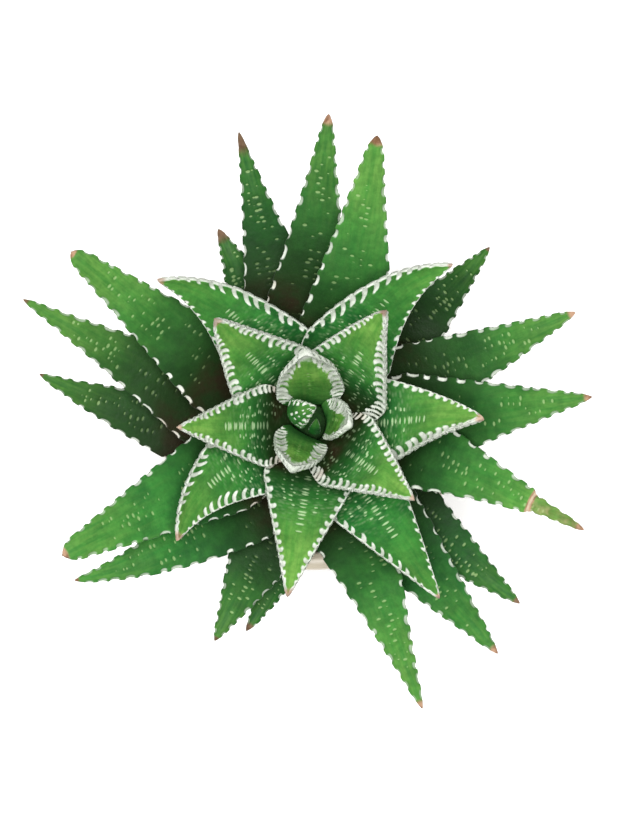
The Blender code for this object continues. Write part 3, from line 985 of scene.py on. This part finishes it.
def soil_bed(edge, wall):
    """The points and faces of a lumpy bed that fills the pot, up to the wall at the height edge."""
    outline = [
        (0, SOIL_BOTTOM),
        (pot_inner_radius(SOIL_BOTTOM) - 2 * MM - GAP, SOIL_BOTTOM),
        (pot_inner_radius(SOIL_BOTTOM + 2 * MM) - GAP, SOIL_BOTTOM + 2 * MM),
        (wall, edge),
    ]
    rings = np.linspace(wall - 0.5 * MM, 0.5 * MM, SOIL_RINGS)
    outline += [(r, soil_top(r) - SOIL_BED_DEPTH) for r in rings]
    outline += [(0, soil_top(0) - SOIL_BED_DEPTH)]
    outline = np.array(outline)
    grid = turned_grid(outline, SOIL_SIDES)
    radius, height = outline[1:-1, 0][:, None], outline[1:-1, 1][:, None]
    on_top = (height > edge - 0.1 * MM) & (radius < wall - 0.2 * MM)
    x, y = grid[..., 0] / MM, grid[..., 1] / MM
    lumps = np.sin(1.9 * x + 0.7 * y) * np.sin(1.3 * y - 0.4 * x) + 0.6 * np.sin(3.7 * x - 2.9 * y)
    grid[..., 2] += np.where(on_top, LUMP_HEIGHT * lumps, 0)
    return closed_at_ends(grid, outline)


def make_soil(finish):
    """A lumpy bed of potting mix with loose grains of bark, peat and pumice pressed into it."""
    rng = np.random.default_rng(40)
    edge = POT_HEIGHT - SOIL_BELOW_RIM
    wall = pot_inner_radius(edge) - GAP
    flat, faces = soil_bed(edge, wall)
    all_points, tones = [flat], [np.zeros(len(flat))]
    lump, lump_faces = grain_shape()
    count = len(flat)
    for _ in range(GRAINS):
        size = rng.uniform(*GRAIN_SIZES) * MM
        distance = math.sqrt(rng.uniform((STEM_RADIUS / wall) ** 2, 1)) * (wall - 0.9 * MM)
        angle = rng.uniform(0, FULL_TURN)
        spin = rng.normal(size=(3, 3))
        axes = np.linalg.qr(spin)[0]
        if np.linalg.det(axes) < 0:
            axes[0] *= -1
        stretch = rng.uniform(0.5, 1.0, 3)
        uneven = 1 + rng.uniform(-GRAIN_ROUGHNESS, GRAIN_ROUGHNESS, lump.shape)
        height = soil_top(distance) - GRAIN_SUNK * size
        middle = np.array((distance * math.cos(angle), distance * math.sin(angle), height))
        all_points.append((lump * uneven) * stretch * size @ axes + middle)
        faces += (lump_faces + count).tolist()
        tones.append(np.full(len(lump), rng.uniform()))
        count += len(lump)
    marks = {"tone": np.concatenate(tones)}
    piece = add_piece("potting_mix", np.vstack(all_points), faces, finish, marks)
    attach(piece, "root")
    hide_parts("soil")


def make_stem(finish):
    """A short stem with the ring-shaped scars of shed leaves, greener towards its top."""
    ground = soil_top(STEM_RADIUS)
    first = leaf_height(1)
    heights = np.arange(ground - 3.5 * MM, STEM_TOP - 0.6 * MM, 0.25 * MM)
    steps = np.clip((heights - first) / LEAF_STEP, 0, len(LEAVES))
    radius = np.where(heights < first, STEM_RADIUS, stem_radius(steps))
    scars = SCAR_HEIGHT * np.abs(np.sin(heights / SCAR_SPACING * math.pi)) ** 0.5
    radius = radius - 0.25 * MM + scars
    outline = [(0, STEM_BOTTOM), (STEM_ROOT_RADIUS, STEM_BOTTOM)]
    outline += [(STEM_ROOT_RADIUS + 0.5 * MM, STEM_BOTTOM + 2 * MM)]
    outline += list(zip(radius, heights))
    outline += [(0.5 * MM, STEM_TOP - 0.2 * MM), (0, STEM_TOP)]
    outline = np.array(outline)
    points, faces = closed_at_ends(turned_grid(outline, STEM_SIDES, STEM_WOBBLE), outline)
    age = np.clip((outline[:, 1] - ground) / (STEM_TOP - ground), 0, 1)
    age = np.append(np.repeat(age[1:-1], STEM_SIDES), (age[0], age[-1]))
    piece = add_piece("plant_stem", points, faces, finish, {"age": age})
    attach(piece, "root")
    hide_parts("stem")


# ---------------------------------------------------------------- floor, lights and camera
FLOOR_HALF = 1.2
FLOOR_GLOW = 0.3
CROWN = (0, 0, 0.08)  # where the lights point
OVERHEAD_POWER = 33.0
FILL_POWER = 2.5
WORLD_STRENGTH = 0.17
FOCAL_LENGTH = 109.46  # mm, for a sensor of 36 mm
SENSOR_WIDTH = 36.0
CAMERA_PLACE = (-0.46 * MM, 1.38 * MM, 0.65)  # it looks straight down, as a new camera does


def make_floor(finish):
    corners = [(-1, -1), (1, -1), (1, 1), (-1, 1)]
    points = np.array([(x * FLOOR_HALF, y * FLOOR_HALF, 0.0) for x, y in corners])
    add_piece("floor", points, [[0, 1, 2, 3]], finish)


def add_lamp(name, place, size, power):
    """A round area light that points at the plant."""
    light = bpy.data.lights.new(name, "AREA")
    light.shape = "DISK"
    light.size = size
    light.energy = power
    lamp = bpy.data.objects.new(name, light)
    lamp.location = place
    aim = Vector(CROWN) - Vector(place)
    lamp.rotation_mode = "QUATERNION"
    lamp.rotation_quaternion = aim.to_track_quat("-Z", "Y")
    bpy.context.scene.collection.objects.link(lamp)


def make_lights():
    add_lamp("overhead", (-0.05, 0.04, 1.5), 0.8, OVERHEAD_POWER)
    add_lamp("fill", (-0.9, -0.9, 0.9), 0.9, FILL_POWER)
    world = bpy.data.worlds.new("studio")
    world.use_nodes = True
    world.node_tree.nodes["Background"].inputs["Color"].default_value = (1.0, 1.0, 1.0, 1.0)
    world.node_tree.nodes["Background"].inputs["Strength"].default_value = WORLD_STRENGTH
    bpy.context.scene.world = world
    bpy.context.scene.view_settings.view_transform = "Standard"


def make_camera():
    data = bpy.data.cameras.new("camera")
    data.lens = FOCAL_LENGTH
    data.sensor_width = SENSOR_WIDTH
    data.clip_start = 0.01
    data.clip_end = 10.0
    camera = bpy.data.objects.new("camera", data)
    camera.location = CAMERA_PLACE
    bpy.context.scene.collection.objects.link(camera)
    bpy.context.scene.camera = camera


def main():
    clear_start_objects()
    make_camera()
    make_lights()
    make_floor(floor_material())
    make_pot(pot_material())
    make_soil(soil_material())
    make_stem(stem_material())
    green = leaf_material()
    for number, leaf in enumerate(LEAVES, 1):
        make_leaf(leaf, number, green)


main()
